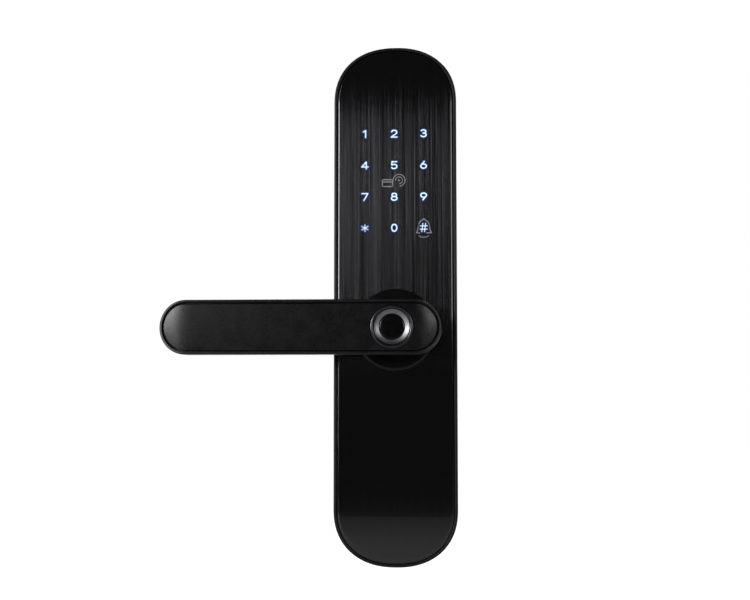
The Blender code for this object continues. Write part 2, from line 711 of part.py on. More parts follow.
def make_clutch(axes, steel, brass, polymer, can, spring_steel):
    depth = CLUTCH_DEPTH
    pin = [(0, 0), (3.0, 0), (3.0, -1.6), (PIN_RADIUS, -1.6), (PIN_RADIUS, -11.0), (1.1, -11.3),
           (0, -11.3)]
    profile = [(r, PIN_END - h) for r, h in reversed(pin)]
    node(turned("clutch_pin", profile, steps=16, along="Y", centre=(0, depth)), steel,
         axes["clutch_pin"])

    inner, outer = SHOE_RADII
    start, stop = -90 - SHOE_HALF_ANGLE, -90 + SHOE_HALF_ANGLE
    outline = arc(outer, start, stop, 20) + arc(inner, stop, start, 20)
    shoe = plate("clutch_shoe", [outline], SHOE_DEPTH)
    join(shoe, blocks("shoe_stem", [[(-3, 3), (-26, -20.5), (5.2, 9.6)]]))
    cut(shoe, pegs("stem_hole", [(0, depth)], 1.6, (-28, -22.6), "Y"))
    node(shoe, polymer, axes["clutch_carriage"])

    nut = blocks("clutch_nut", [[(-3.2, 3.2), NUT_SPAN, (4.6, 10.2)]])
    cut(nut, pegs("nut_thread", [(0, depth)], 1.65, (-42, -30), "Y"))
    node(nut, brass, axes["clutch_carriage"])
    coil = helix((0, depth), 2.3, (NUT_SPAN[1] + 0.6, -26.6), 3.5)
    node(wire("clutch_spring", coil, 0.3), spring_steel, axes["clutch_carriage"])

    low, high = SCREW_SPAN
    thread = [(0, high), (0.9, high)]
    pitch = 2.0
    turns = int((high - low - 5) / pitch)
    for i in range(turns):
        top = high - 0.4 - i * pitch
        thread += [(1.0, top), (1.35, top - 0.4 * pitch), (1.35, top - 0.5 * pitch),
                   (1.0, top - 0.9 * pitch)]
    thread += [(1.0, low), (0, low)]
    node(turned("motor_screw", thread, steps=8, along="Y", centre=(0, depth)), steel,
         axes["motor_screw"])

    low, high = MOTOR_SPAN
    motor = pegs("clutch_motor", [(0, depth)], MOTOR_RADIUS, MOTOR_SPAN, "Y", 24)
    join(motor, pegs("motor_nose", [(0, depth)], 1.8, (high - 1, high + 0.5), "Y"),
         blocks("motor_terminals", [[(-2.6, -1.4), (low - 1.6, low + 1), (6.9, 7.9)],
                                    [(1.4, 2.6), (low - 1.6, low + 1), (6.9, 7.9)]]))
    node(motor, can)

    cradle = blocks("motor_cradle", [[(-7, 7), (-66, -32.5), (4.4, FRONT_WALL[0] - CLEAR)]])
    ear = [[(6.5, 13), (-60, -56), (5.2, 10.8)]]
    wide = MOTOR_RADIUS + CLEAR
    cut(join(cradle, blocks("rod_guide", ear)),
        pegs("motor_bed", [(0, depth)], wide, (low - 2.5, high + 0.3), "Y", 24),
        blocks("motor_mouth", [[(-wide, wide), (low - 2.5, high + 0.3), (3, depth)]]),
        blocks("nut_channel", [[(-3.5, 3.5), (high - 1, -30), (3, 10.5)]]),
        blocks("rod_slot", [[(8.2, 11.8), (-62, -54), (6.6, 9.4)]]))
    node(cradle, polymer)


# ---------------------------------------------------------------- emergency key and power

def ramp(name, radii, base, lift, start, sweep, steps=18):
    """A ring segment about the key's axis whose top climbs evenly over its sweep, with flat ends."""
    lead = 14
    made = bmesh.new()
    inner, outer = radii
    rows = []
    for i in range(steps + 1):
        turn = start - lead + (sweep + 2 * lead) * i / steps
        share = min(max((turn - start) / sweep, 0), 1)
        a = math.radians(turn)
        row = []
        for radius, height in ((inner, base - 1), (outer, base - 1),
                               (outer, base + 0.05 + lift * share),
                               (inner, base + 0.05 + lift * share)):
            place = Vector((radius * math.sin(a), height, KEY_DEPTH + radius * math.cos(a)))
            row.append(made.verts.new(place * MM))
        rows.append(row)
    for first, second in zip(rows, rows[1:]):
        for i in range(4):
            j = (i + 1) % 4
            made.faces.new((first[i], first[j], second[j], second[i]))
    made.faces.new(rows[0][::-1])
    made.faces.new(rows[-1])
    bmesh.ops.recalc_face_normals(made, faces=made.faces)
    return from_bmesh(name, made)


def make_key(axes, brass, steel, dark_steel):
    centre = (0, KEY_DEPTH)
    low, high = KEY_BODY_SPAN
    inner = KEY_PLUG_RADIUS + CLEAR
    body = turned("key_cylinder", [(inner, high), (KEY_BODY_RADIUS, high), (KEY_BODY_RADIUS, low),
                                   (inner, low)], 24, True, "Y", centre)
    node(body, brass)

    tail = KEY_CAM_SPAN[1] - 0.2
    profile = [(0, tail), (1.8, tail), (1.8, high + 0.2), (KEY_PLUG_RADIUS, high + 0.2),
               (KEY_PLUG_RADIUS, -132.2), (0, -132.2)]
    plug = turned("key_plug", profile, 24, False, "Y", centre)
    cut(plug, blocks("keyway", [[(-0.7, 0.7), (-134, -110), (7.8, 14.2)]]),
        blocks("tail_flat", [[(1.2, 3), (high + 0.2, -100), (8, 14)]]))
    node(plug, brass, axes["key_plug"])

    cam = turned("key_cam", [(0, KEY_CAM_SPAN[1]), (5.5, KEY_CAM_SPAN[1]), (5.5, KEY_CAM_SPAN[0]),
                             (0, KEY_CAM_SPAN[0])], 24, False, "Y", centre)
    join(cam, ramp("cam_ramp", (3.3, 5.3), KEY_CAM_SPAN[1], RAMP_LIFT, RAMP_FOOT_ANGLE, 90))
    cut(cam, pegs("tail_hole", [centre], 2.1, (-106, -100), "Y"))
    node(cam, steel, axes["key_plug"])

    foot = KEY_CAM_SPAN[1] + 0.7
    outline = [(2.4, foot), (4.2, foot), (4.2, -98.5), (11.5, -98.5), (11.5, ROD_TOP),
               (8.5, ROD_TOP), (8.5, -95.5), (2.4, -95.5)]
    node(plate("key_rod", [outline], ROD_DEPTH), dark_steel, axes["key_rod"])


def make_socket(steel):
    x = SOCKET_X
    low = SOCKET_FACE
    shell = blocks("power_socket", [[(x - 4.5, x + 4.5), (low, low + 9), (9.2, 12.8)]])
    join(shell, blocks("socket_board", [[(x - 6, x + 6), (low + 4.5, low + 11.5), (8.0, 9.6)]]))
    cut(shell, blocks("socket_mouth", [[(x - 3.9, x + 3.9), (low - 2, low + 7), (9.8, 12.2)]]))
    join(shell, blocks("socket_tongue", [[(x - 2.9, x + 2.9), (low + 2, low + 7.5), (10.7, 11.3)]]))
    node(shell, steel)


def flap_pin_centre():
    c = math.copysign((abs(FLAP_PIN_X) / HALF_WIDTH) ** (END_POWER / 2), FLAP_PIN_X)
    return bottom_point(math.acos(c), FLAP_PIN_INSET)


def make_flap(axis, rubber, steel):
    pin = flap_pin_centre()
    left, right = FLAP_SPAN
    flap = plate("dust_flap", [bottom_strip(left + 0.4, right, *FLAP_INSETS)], FLAP_DEPTH)
    join(flap, pegs("flap_knuckle", [pin], 1.4, (FLAP_DEPTH[0] + 0.05, FLAP_DEPTH[1] - 0.05)))
    cut(flap, pegs("flap_bore", [pin], 0.9, (3, 19), steps=12))
    node(flap, rubber, axis)
    node(pegs("flap_pin", [pin], 0.6, (2.9, 19.1), steps=10), steel)


# ---------------------------------------------------------------- tamper switch

def make_tamper(axis, polymer, dark, spring_steel):
    x, y = TAMPER
    profile = [(0, 6.6), (1.4, 6.6), (1.4, 4.4), (3.0, 4.4), (3.0, 3.4), (2.0, 3.4), (2.0, -1.6),
               (1.6, -2.0), (0, -2.0)]
    node(turned("tamper_plunger", profile, 14, centre=TAMPER), polymer, axis)
    switch = blocks("tamper_switch", [[(x - 4, x + 4), (y - 4, y + 4), (9.5, FRONT_WALL[0] - CLEAR)]])
    node(switch, dark)
    coil = helix(TAMPER, 2.1, (4.9, 9.0), 3, along="Z")
    node(wire("tamper_spring", coil, 0.2), spring_steel)


# ---------------------------------------------------------------- the whole lock

def main():
    clear_scene()
    new_collection(NODES)
    new_collection(CUTTERS)
    frame = new_empty("lock_frame", turn=(math.pi / 2, 0, 0))
    pin_x, pin_y = flap_pin_centre()
    axes = {
        "lever": new_empty("lever_axis", frame),
        "spindle": new_empty("spindle_axis", frame),
        "clutch_pin": new_empty("clutch_pin_slide", frame, (0, PIN_END, CLUTCH_DEPTH)),
        "clutch_carriage": new_empty("clutch_slide", frame, (0, NUT_SPAN[0], CLUTCH_DEPTH)),
        "motor_screw": new_empty("screw_axis", frame, (0, SCREW_SPAN[0], CLUTCH_DEPTH)),
        "key_plug": new_empty("key_axis", frame, (0, KEY_CAM_SPAN[0], KEY_DEPTH)),
        "key_rod": new_empty("rod_slide", frame, (10, -60, 8)),
        "flap": new_empty("flap_axis", frame, (pin_x, pin_y, KEY_DEPTH)),
        "tamper": new_empty("tamper_slide", frame, (*TAMPER, 0)),
    }

    case_black = new_material("case_black", (0.012, 0.012, 0.014), 0.38)
    glass_black = new_material("glass_black", (0.010, 0.010, 0.012), 0.06)
    lever_black = new_material("lever_black", (0.014, 0.014, 0.016), 0.36)
    face_black = new_material("face_black", (0.020, 0.020, 0.022), 0.50)
    chrome = new_material("dark_chrome", (0.42, 0.42, 0.44), 0.16, 1.0)
    sensor_black = new_material("sensor_black", (0.008, 0.008, 0.009), 0.22)
    steel = new_material("steel", (0.58, 0.58, 0.60), 0.32, 1.0)
    dark_steel = new_material("dark_steel", (0.20, 0.20, 0.22), 0.40, 1.0)
    spring_steel = new_material("spring_steel", (0.45, 0.46, 0.48), 0.28, 1.0)
    brass = new_material("brass", (0.70, 0.52, 0.25), 0.30, 1.0)
    copper = new_material("copper", (0.75, 0.38, 0.22), 0.30, 1.0)
    board = new_material("board_green", (0.02, 0.16, 0.07), 0.45)
    polymer = new_material("white_polymer", (0.72, 0.72, 0.68), 0.50)
    dark = new_material("dark_plastic", (0.03, 0.03, 0.035), 0.50)
    rubber = new_material("rubber", (0.02, 0.02, 0.02), 0.85)

    make_housing(case_black)
    make_glass(glass_black)
    make_keypad(dark, board, copper)
    make_main_board(board, dark)
    make_back(steel, rubber, steel, rubber)
    make_fasteners(steel, dark_steel)
    make_rosette(lever_black)
    make_hub(polymer, spring_steel)
    make_lever(axes["lever"], lever_black, face_black, steel)
    make_lever_cam(axes["lever"], dark_steel, spring_steel)
    make_sensor(axes["lever"], lever_black, chrome, sensor_black, board, dark)
    make_spindle(axes["spindle"], steel, dark_steel)
    make_clutch(axes, steel, brass, polymer, steel, spring_steel)
    make_key(axes, brass, steel, dark_steel)
    make_socket(steel)
    make_flap(axes["flap"], rubber, steel)
    make_tamper(axes["tamper"], polymer, dark, spring_steel)


main()
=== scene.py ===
import json
import math

import bmesh
import bpy
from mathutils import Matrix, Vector


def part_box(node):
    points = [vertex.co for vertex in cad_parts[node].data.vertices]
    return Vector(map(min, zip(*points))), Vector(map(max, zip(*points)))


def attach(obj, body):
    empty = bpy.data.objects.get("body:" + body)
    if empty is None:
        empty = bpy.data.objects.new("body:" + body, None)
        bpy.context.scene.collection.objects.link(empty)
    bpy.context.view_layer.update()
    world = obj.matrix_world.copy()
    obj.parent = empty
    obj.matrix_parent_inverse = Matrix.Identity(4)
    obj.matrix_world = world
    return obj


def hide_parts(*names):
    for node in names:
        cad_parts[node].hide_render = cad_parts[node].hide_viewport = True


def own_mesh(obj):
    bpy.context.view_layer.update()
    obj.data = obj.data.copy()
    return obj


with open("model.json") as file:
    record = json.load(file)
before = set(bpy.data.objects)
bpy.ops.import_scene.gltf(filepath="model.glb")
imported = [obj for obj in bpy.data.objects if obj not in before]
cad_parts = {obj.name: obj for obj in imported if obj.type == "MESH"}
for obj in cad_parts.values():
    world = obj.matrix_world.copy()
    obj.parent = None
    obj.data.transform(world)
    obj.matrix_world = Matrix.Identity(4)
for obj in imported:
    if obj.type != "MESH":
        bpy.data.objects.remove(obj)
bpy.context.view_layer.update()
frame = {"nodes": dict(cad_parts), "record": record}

# Lengths are millimetres until place() turns them into metres. Shapes are drawn as seen from the
# front: x to the right, up along the plate, and depth out of the door, which is the frame's -Y.
MM = 0.001

SMOOTH_ANGLE = 32  # a sharper edge than this isn't shaded smooth
BEVEL_ANGLE = 40  # a sharper edge than this is rounded
BEVEL_STEPS = 3

# Case: an outline of straight sides and superellipse ends, its wall, its rim and its glass
END_HEIGHT = 32.6
END_POWER = 2.25
END_STEPS = 96
SIDE_STEPS = 28
WALL = 2.6
RIM = 1.7
RIM_ROUND = 0.85
GLASS_INSET = 2.2
GLASS_BEVEL = 1.2
GLASS_BEVEL_DEPTH = 0.75

# Openings and flap bed. A bore is (radius, start, stop). A rounded rectangle is the two
# coordinates of its middle, then width, height and corner radius.
KEY_WINDOW = (0, 86.5, 50, 77, 3)
BUSH_BORE = (11.8, 14, 24)
GLASS_HOLE = 19.0
KEY_DEPTH = 11.0  # how far in front of the door the key hole and the socket are
KEY_HOLE = (4.6, -137, -127)
SOCKET_HOLE = (16, KEY_DEPTH, 9.8, 4.2, 1.2)
SOCKET_REACH = (-137, -120)
BLOCK_SPAN = (-13.5, 27)
BLOCK_BACK = 3.3
RECESS_SPAN = (-12, 26)
RECESS_DEPTH = (4.5, 17.5)
KNUCKLE_ROOM = 1.9
PIN_ROOM = 0.9

# Flap and gasket
FLAP_SPAN = (-10.9, 25.3)
FLAP_GRIP = (20.4, 22.0, 23.6)  # where the grip grooves start
GRIP_WIDTH = 0.7
KNUCKLE = 1.4
GASKET_INSET = 0.4
BEAD_RISE = 0.35
BEAD_HALF = 0.75
BEAD_MARGIN = 1.6  # from an edge to the middle of its bead
SPINDLE_HOLE = 10
CABLE_HOLE = (0, 26, 15.6, 9.6, 3)
TAMPER_HOLE = 2.6
POST_HOLE = 4.5
SCREW_HOLE = 3.2

# Lever
LEVER_BACK = 48.0
LEVER_TRAY = 59.9  # depth of the tray's floor, under the face plate
LEVER_BACK_ROUND = 3.0
LEVER_RIM_ROUND = 0.5
LEVER_RIM = 1.4
LEVER_GROOVE = 0.8
ROLL_REACH = 17.0
ROLL_BEND = 11.0
ROLL_SLOPE = 0.25
ROLL_DEPTH = 55.0  # behind this depth the lever's ends don't fall back
FACE_CROWN = 0.3
END_CROWN = 0.4
CROWN_START = 11.0
CROWN_FADE = 8.0
SENSOR_HOLE = 12.05
SENSOR_POCKET = (12.2, 50.5, 62)
SHAFT_SOCKET = (9.3, 20, 40.3)
SET_SCREW_DEPTH = 30
SET_SCREW_HOLE = (2.2, -14, -8)

# Keypad marks
COLUMNS = (-17.5, -0.5, 16.5)
ROWS = (114.2, 95.7, 77.2, 59.1)
LABELS = ("123", "456", "789", "*0#")
SIGNS = "*#"
DIGIT_SIZE = (3.7, 4.0)
SIGN_SIZE = (4.6, 4.8)

# Studio, in metres
CAMERA_PLACE = (0.03176, -0.69259, -0.03220)
CAMERA_PITCH = 4.222
CAMERA_YAW = 3.71
LENS = 56.10
PANELS = (  # name, centre, target, width, height, power
    ("light_left", (-1.15, -1.15, 0.292), (0, -0.03, 0.292), 0.6, 0.505, 10.8),
    ("light_right", (0.85, -1.38, 0.314), (0, -0.03, 0.314), 0.5, 0.438, 3.22),
    ("light_front_left", (-0.70, -1.47, 0.274), (0, -0.03, 0.274), 0.55, 0.468, 1.17),
    ("light_back", (0.20, 1.00, 1.10), (0, 0, 0), 0.9, 0.5, 12.0),
)
FLOOR_LEVEL = -0.30
FLOOR_FRONT = -1.78
FLOOR_BACK = 4.0
FLOOR_HALF = 4.0


# ---------------------------------------------------------------- boxes of the CAD nodes

def span(node):
    """A node's box in drawing axes: ((left, right), (bottom, top), (back, front)), in mm."""
    low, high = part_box(node)
    return ((low.x / MM, high.x / MM), (low.z / MM, high.z / MM), (-high.y / MM, -low.y / MM))


def pivot(name):
    """Where a joint's axis crosses the drawing plane, in mm."""
    for row in frame["record"]["behaviour"]["joints"]:
        if row["name"] == name:
            x, _, up = row["pos_m"]
            return x / MM, up / MM


def middle(node):
    """The middle of a node's box as (x, up), to the nearest micrometre, in mm."""
    across, height, _ = span(node)
    return round(sum(across) / 2, 3), round(sum(height) / 2, 3)


CASE_X, CASE_UP, CASE_DEPTH = span("housing")
GLASS_DEPTH = span("front_glass")[2]
HALF_WIDTH = CASE_X[1]
CASE_BOTTOM, CASE_TOP = CASE_UP
LEVER_X, LEVER_UP, _ = span("lever_body")
LEVER_FRONT = span("lever_body")[2][1]
LEVER_HALF = LEVER_UP[1]
SENSOR_SEAT = round(span("fingerprint_bezel")[2][0], 3)
TAMPER = middle("tamper_plunger")
POSTS = ("mounting_post_upper", "mounting_post_lower")
BACK_SCREWS = tuple("back_plate_screw_%d" % i for i in range(1, 5))


# ---------------------------------------------------------------- outlines

def end_point(angle, inset):
    """A point of the case's top end, moved in along the outline's normal."""
    c = math.cos(angle)
    s = math.sin(angle)
    x = math.copysign(HALF_WIDTH * abs(c) ** (2 / END_POWER), c)
    up = END_HEIGHT * abs(s) ** (2 / END_POWER)
    slope_x = math.copysign((abs(x) / HALF_WIDTH) ** (END_POWER - 1) / HALF_WIDTH, x)
    slope_up = (up / END_HEIGHT) ** (END_POWER - 1) / END_HEIGHT
    size = math.hypot(slope_x, slope_up)
    return x - inset * slope_x / size, up - inset * slope_up / size


def case_outline(inset):
    """The case's outline, anticlockwise from its right side, with its straight sides divided."""
    angles = [math.pi * i / END_STEPS for i in range(END_STEPS + 1)]
    ends = [end_point(a, inset) for a in angles]
    top = CASE_TOP - END_HEIGHT
    bottom = CASE_BOTTOM + END_HEIGHT
    points = [(x, top + up) for x, up in ends]
    left, right = -ends[0][0], ends[0][0]
    rungs = [i / SIDE_STEPS for i in range(1, SIDE_STEPS)]
    points += [(left, top + (bottom - top) * t) for t in rungs]
    points += [(-x, bottom - up) for x, up in ends]
    points += [(right, bottom + (top - bottom) * t) for t in rungs]
    return points


def bottom_strip(x_left, x_right, outer_inset, inner_inset, steps=44):
    """A curved strip that follows the case's bottom end between two insets."""
    level = CASE_BOTTOM + END_HEIGHT
    outer = []
    inner = []
    for i in range(steps + 1):
        x = x_left + (x_right - x_left) * i / steps
        c = math.copysign((abs(x) / HALF_WIDTH) ** (END_POWER / 2), x)
        for inset, points in ((outer_inset, outer), (inner_inset, inner)):
            along, out = end_point(math.acos(c), inset)
            points.append((along, level - out))
    return outer + inner[::-1]


def arc(radius, start, stop, steps, centre=(0, 0)):
    points = []
    for i in range(steps + 1):
        a = math.radians(start + (stop - start) * i / steps)
        points.append((centre[0] + radius * math.cos(a), centre[1] + radius * math.sin(a)))
    return points


def circle(radius, centre=(0, 0), steps=64):
    return arc(radius, 0, 360, steps, centre)[:-1]


def rounded_rectangle(x, up, width, height, radius, steps=8):
    points = []
    for i, (sx, sy) in enumerate(((1, 1), (-1, 1), (-1, -1), (1, -1))):
        corner = (x + sx * (width / 2 - radius), up + sy * (height / 2 - radius))
        points += arc(radius, 90 * i, 90 * (i + 1), steps, corner)
    return points


def lever_outline(inset, ends=64, sides=40):
    """The lever's round-ended outline, anticlockwise, with its straight sides divided."""
    left, right = LEVER_X
    radius = LEVER_HALF - inset
    heel = right - LEVER_HALF
    tip = left + LEVER_HALF
    rungs = [i / sides for i in range(1, sides)]
    points = arc(radius, -90, 90, ends, (heel, 0))
    points += [(heel + (tip - heel) * t, radius) for t in rungs]
    points += arc(radius, 90, 270, ends, (tip, 0))
    points += [(tip + (heel - tip) * t, -radius) for t in rungs]
    return points


def ring_to(outline, radius):
    """Points on a circle round the lever's axis, one in the direction of each outline point."""
    points = []
    for x, up in outline:
        size = math.hypot(x, up)
        points.append((radius * x / size, radius * up / size))
    return points


def between(first, second, share):
    return [(a[0] + (b[0] - a[0]) * share, a[1] + (b[1] - a[1]) * share)
            for a, b in zip(first, second)]


# ---------------------------------------------------------------- meshes

def place(x, up, depth):
    return Vector((x, -depth, up)) * MM


def link(name, mesh):
    made = bpy.data.objects.new(name, mesh)
    bpy.context.scene.collection.objects.link(made)
    return made


def smooth(mesh):
    mesh.shade_smooth()
    mesh.set_sharp_from_angle(angle=math.radians(SMOOTH_ANGLE))


def from_faces(name, points, faces):
    """A piece from points in drawing axes and faces, with its normals turned outwards."""
    made = bmesh.new()
    verts = [made.verts.new(place(*p)) for p in points]
    for face in faces:
        made.faces.new([verts[i] for i in face])
    bmesh.ops.remove_doubles(made, verts=made.verts, dist=1e-7)
    bmesh.ops.recalc_face_normals(made, faces=made.faces)
    mesh = bpy.data.meshes.new(name)
    made.to_mesh(mesh)
    made.free()
    smooth(mesh)
    return link(name, mesh)


def skin(name, loops, closed=False):
    """A surface through loops of equally many (x, up, depth) points. Its two ends are capped
    with one face each, or joined to each other when closed."""
    size = len(loops[0])
    points = [p for loop in loops for p in loop]
    faces = []
    pairs = len(loops) if closed else len(loops) - 1
    for k in range(pairs):
        first = k * size
        second = (k + 1) % len(loops) * size
        for i in range(size):
            j = (i + 1) % size
            faces.append((first + i, first + j, second + j, second + i))
    if not closed:
        faces.append(tuple(range(size))[::-1])
        faces.append(tuple(range((len(loops) - 1) * size, len(loops) * size)))
    return from_faces(name, points, faces)


def at_depth(outline, depth):
    return [(x, up, depth) for x, up in outline]


def swept(name, outline_at, profile, closed=False):
    """A piece whose section is a list of (inset, depth) followed round an outline."""
    return skin(name, [at_depth(outline_at(i), d) for i, d in profile], closed)


def turned(name, profile, steps=96, closed=False, centre=(0, 0), along="depth"):
    """A piece turned from a profile of (radius, distance along the axis)."""
    loops = []
    for radius, height in profile:
        loop = []
        for x, other in circle(max(radius, 1e-4), steps=steps):
            if along == "depth":
                loop.append((centre[0] + x, centre[1] + other, height))
            else:
                loop.append((centre[0] + x, height, centre[1] + other))
        loops.append(loop)
    return skin(name, loops, closed)


def bore(name, radius, start, stop, steps, centre=(0, 0), along="depth"):
    """A plain cylinder, for cutting holes or for pins."""
    return turned(name, [(radius, start), (radius, stop)], steps, centre=centre, along=along)


def slab(name, outline, back, front):
    return skin(name, [at_depth(outline, back), at_depth(outline, front)])


def raised(name, outline, low, high):
    """A slab that stands upright: its outline is (x, depth) points, from one height to another."""
    return skin(name, [[(x, up, depth) for x, depth in outline] for up in (low, high)])


def settle(piece):
    """Applies a piece's modifiers, and smooths what they leave."""
    bpy.context.view_layer.update()
    graph = bpy.context.evaluated_depsgraph_get()
    mesh = bpy.data.meshes.new_from_object(piece.evaluated_get(graph))
    old = piece.data
    piece.modifiers.clear()
    piece.data = mesh
    bpy.data.meshes.remove(old)
    mesh.name = piece.name
    smooth(mesh)


def boolean(piece, operation, others):
    for other in others:
        modifier = piece.modifiers.new("boolean", "BOOLEAN")
        modifier.operation = operation
        modifier.solver = "EXACT"
        modifier.object = other
        settle(piece)
        mesh = other.data
        bpy.data.objects.remove(other)
        bpy.data.meshes.remove(mesh)


def cut(piece, *others):
    boolean(piece, "DIFFERENCE", others)


def join(piece, *others):
    boolean(piece, "UNION", others)


def add_bevel(piece, width):
    bevel = piece.modifiers.new("bevel", "BEVEL")
    bevel.width = width * MM
    bevel.segments = BEVEL_STEPS
    bevel.limit_method = "ANGLE"
    bevel.angle_limit = math.radians(BEVEL_ANGLE)


def stroke(name, paths, width, depth, thickness=0.012, steps=10):
    """Flat line work: each path of (x, up) points becomes a ribbon with round ends and joints."""
    points = []
    faces = []
    half = width / 2
    for path in paths:
        for a, b in zip(path, path[1:]):
            direction = math.degrees(math.atan2(b[1] - a[1], b[0] - a[0]))
            outline = (arc(half, direction - 90, direction + 90, steps, b)
                       + arc(half, direction + 90, direction + 270, steps, a))
            first = len(points)
            count = len(outline)
            points += [(x, up, depth - thickness) for x, up in outline]
            points += [(x, up, depth) for x, up in outline]
            faces.append(tuple(range(first, first + count)))
            faces.append(tuple(range(first + count, first + 2 * count)))
            for i in range(count):
                j = (i + 1) % count
                faces.append((first + i, first + j, first + count + j, first + count + i))
    made = bmesh.new()
    verts = [made.verts.new(place(*p)) for p in points]
    for face in faces:
        made.faces.new([verts[i] for i in face])
    bmesh.ops.recalc_face_normals(made, faces=made.faces)
    mesh = bpy.data.meshes.new(name)
    made.to_mesh(mesh)
    made.free()
    return link(name, mesh)


# ---------------------------------------------------------------- materials

class Look:
    """A material with a Principled shader, and the nodes that drive it."""

    def __init__(self, name, **uniform):
        self.material = bpy.data.materials.new(name)
        self.material.use_nodes = True
        self.tree = self.material.node_tree
        self.shader = self.tree.nodes["Principled BSDF"]
        self.set(self.shader, uniform)
        self.where = self.tree.nodes.new("ShaderNodeTexCoord").outputs["Object"]

    def set(self, node, values):
        for key, value in values.items():
            socket = node.inputs[key.replace("_", " ")]
            if isinstance(value, bpy.types.NodeSocket):
                self.tree.links.new(value, socket)
            else:
                socket.default_value = value

    def node(self, kind, settings=None, **inputs):
        made = self.tree.nodes.new("ShaderNode" + kind)
        for key, value in (settings or {}).items():
            setattr(made, key, value)
        self.set(made, inputs)
        return made

    def stretched(self, scale):
        """The object's coordinates, times a scale for each axis, in cycles per metre."""
        made = self.node("Mapping", {"vector_type": "POINT"}, Vector=self.where, Scale=scale)
        return made.outputs["Vector"]

    def noise(self, scale, detail=3.0, roughness=0.55, stretch=(1, 1, 1)):
        made = self.node("TexNoise", None, Vector=self.stretched(stretch), Scale=scale,
                         Detail=detail, Roughness=roughness)
        return made.outputs["Fac"]

    def range(self, value, low, high, start=0.3, stop=0.7):
        made = self.node("MapRange", {"clamp": True})
        self.tree.links.new(value, made.inputs["Value"])
        made.inputs["From Min"].default_value = start
        made.inputs["From Max"].default_value = stop
        made.inputs["To Min"].default_value = low
        made.inputs["To Max"].default_value = high
        return made.outputs["Result"]

    def mix(self, share, first, second):
        made = self.node("Mix", {"data_type": "RGBA"})
        self.tree.links.new(share, made.inputs["Factor"])
        for index, value in ((6, first), (7, second)):
            if isinstance(value, bpy.types.NodeSocket):
                self.tree.links.new(value, made.inputs[index])
            else:
                made.inputs[index].default_value = (*value, 1.0)
        return made.outputs[2]

    def add(self, first, second, operation="ADD"):
        made = self.node("Math", {"operation": operation})
        for index, value in enumerate((first, second)):
            if isinstance(value, bpy.types.NodeSocket):
                self.tree.links.new(value, made.inputs[index])
            else:
                made.inputs[index].default_value = value
        return made.outputs[0]

    def bump(self, height, distance):
        """A bump of a height in millimetres."""
        made = self.node("Bump", None, Height=height, Distance=distance * MM, Strength=1.0)
        self.set(self.shader, {"Normal": made.outputs["Normal"]})

    def colour(self, value):
        self.set(self.shader, {"Base_Color": value})

    def rough(self, value):
        self.set(self.shader, {"Roughness": value})


def scaled(colour, factor):
    return tuple(c * factor for c in colour)


def paint(name, colour, roughness, grain=0.35, depth=0.006, patch=14.0, **uniform):
    """Satin or matt paint with a fine sprayed grain, faint patches and rubbed spots."""
    look = Look(name, **uniform)
    fine = look.noise(1 / (grain * MM), 2.0, 0.6)
    patches = look.noise(1 / (patch * MM), 4.0, 0.6)
    look.colour(look.mix(look.range(patches, 0, 1), scaled(colour, 0.82), scaled(colour, 1.2)))
    look.rough(look.add(look.range(patches, roughness - 0.04, roughness + 0.05),
                        look.range(fine, -0.025, 0.025)))
    look.bump(fine, depth)
    return look.material


def metal(name, colour, roughness, grain=0.4, depth=0.004, stretch=(1, 1, 1), **uniform):
    """Bare or plated metal with tool marks along the axis that stretch makes small."""
    look = Look(name, Metallic=1.0, **uniform)
    marks = look.noise(1 / (grain * MM), 3.0, 0.6, stretch)
    stains = look.noise(160.0, 4.0, 0.6)
    look.colour(look.mix(look.range(stains, 0, 1), scaled(colour, 0.8), scaled(colour, 1.1)))
    look.rough(look.add(look.range(marks, roughness - 0.05, roughness + 0.05),
                        look.range(stains, -0.03, 0.05)))
    look.bump(marks, depth)
    return look.material


def front_glass_look():
    """A clear gloss pane over a dark layer brushed along the plate."""
    look = Look("glass_black", Metallic=1.0, Coat_Weight=1.0, Coat_Roughness=0.015, Coat_IOR=1.5)
    wide = look.noise(500.0, 3.0, 0.6, (1, 0, 0.004))
    fine = look.noise(1900.0, 2.0, 0.6, (1, 0, 0.001))
    streaks = look.add(look.range(wide, 0, 0.35, 0.35, 0.65), look.range(fine, 0, 0.65, 0.3, 0.7))
    look.colour(look.mix(streaks, (0.048, 0.048, 0.0508), (0.061, 0.061, 0.0646)))
    look.rough(look.range(fine, 0.065, 0.08))
    # The brushing is far too fine to show as shape. It spreads reflections sideways, in streaks.
    look.bump(look.noise(29000.0, 0.0, 0.5, (1, 0, 0.0002)), 0.025)
    return look.material


def glow_look(name, colour, strength):
    """Light from a lamp behind the glass, a little uneven."""
    look = Look(name, Roughness=0.35, Emission_Strength=strength)
    uneven = look.noise(700.0, 2.0)
    look.colour(look.mix(look.range(uneven, 0, 1), scaled(colour, 0.2), scaled(colour, 0.3)))
    tone = look.mix(look.range(uneven, 0, 1), scaled(colour, 0.94), colour)
    look.set(look.shader, {"Emission_Color": tone})
    return look.material


def glowing_print_look():
    """Grey ink printed behind the glass, with a painted glow: it gives out light of its own grey,
    though no lamp lights it.
    """
    look = Look("mark_ink_glow", Roughness=0.5, Emission_Strength=0.35)
    speckle = look.noise(3000.0, 2.0)
    tone = look.mix(look.range(speckle, 0, 1), (0.30, 0.30, 0.31), (0.42, 0.42, 0.43))
    look.colour(tone)
    # Painted glow: the ink's own grey is given out as light.
    look.set(look.shader, {"Emission_Color": tone})
    return look.material


